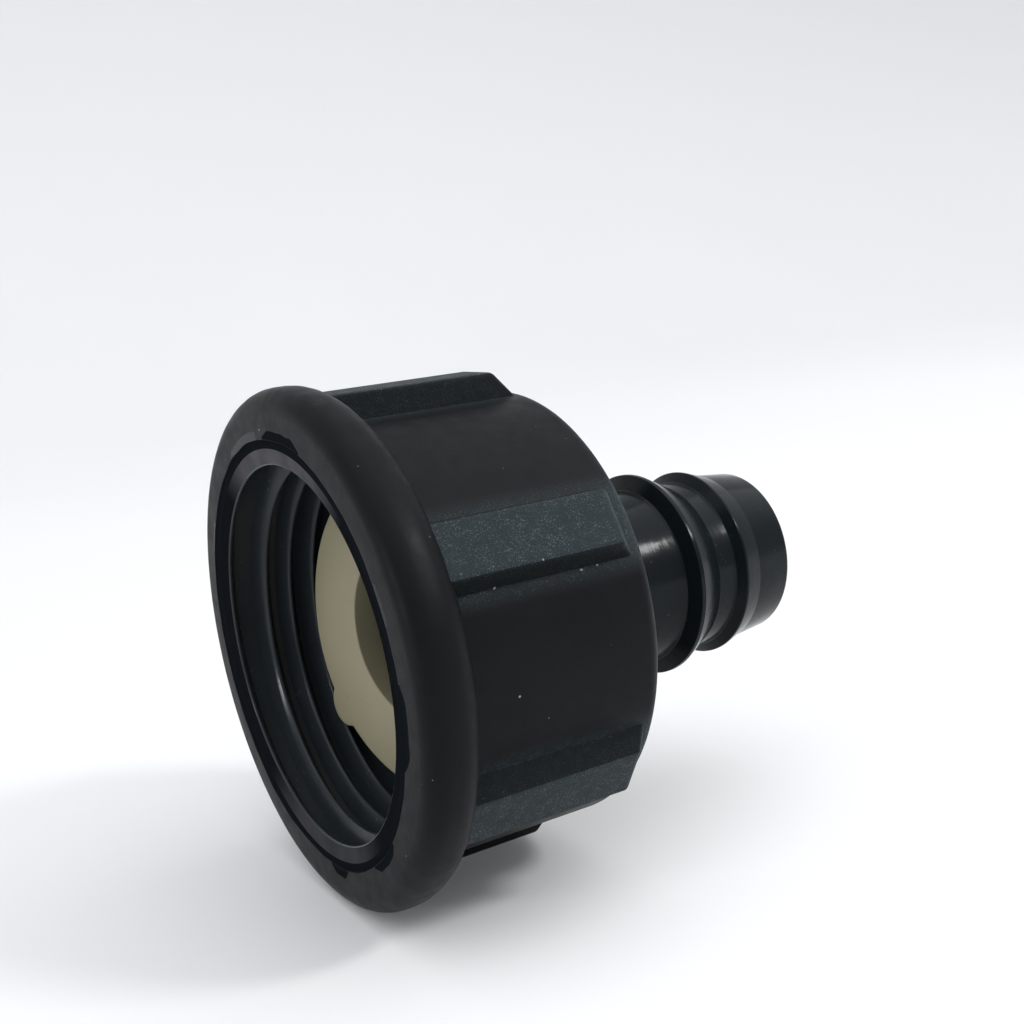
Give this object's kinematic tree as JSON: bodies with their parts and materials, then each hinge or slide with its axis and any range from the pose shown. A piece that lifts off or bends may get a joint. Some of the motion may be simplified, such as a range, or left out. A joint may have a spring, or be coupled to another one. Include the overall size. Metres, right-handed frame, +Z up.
{
  "type": "swivel hose connector",
  "caption": "Swivel hose connector: an internally threaded coupling nut with grip pads turns on a hollow barbed hose tail, with a lugged flat washer in the nut.",
  "frame": {"origin": "below the middle of the part's length, on the surface that the nut's bead rests on", "axes": "+X along the connector's axis from the nut's mouth to the tip of the hose tail, +Z up through a grip pad"},
  "size_m": [0.0362, 0.0338, 0.0338],
  "materials": {
    "nut_plastic": "satin charcoal moulding, with a fine spark-eroded texture on the grip pads",
    "tail_plastic": "glossy black moulding",
    "washer_rubber": "dull cream rubber"
  },
  "bodies": {
    "nut": {"coupling_nut": "nut_plastic"},
    "washer": {"sealing_washer": "washer_rubber"},
    "tail": {"hose_tail": "tail_plastic"}
  },
  "joints": [
    {"name": "nut_swivel", "type": "hinge", "parent": "nut", "child": "washer", "pos_m": [-0.0103, 0, 0.0169], "axis": [1, 0, 0], "continuous": true},
    {"name": "tail_end_float", "type": "slide", "parent": "washer", "child": "tail", "axis": [-1, 0, 0], "range_m": [0, 0.001]}
  ]
}
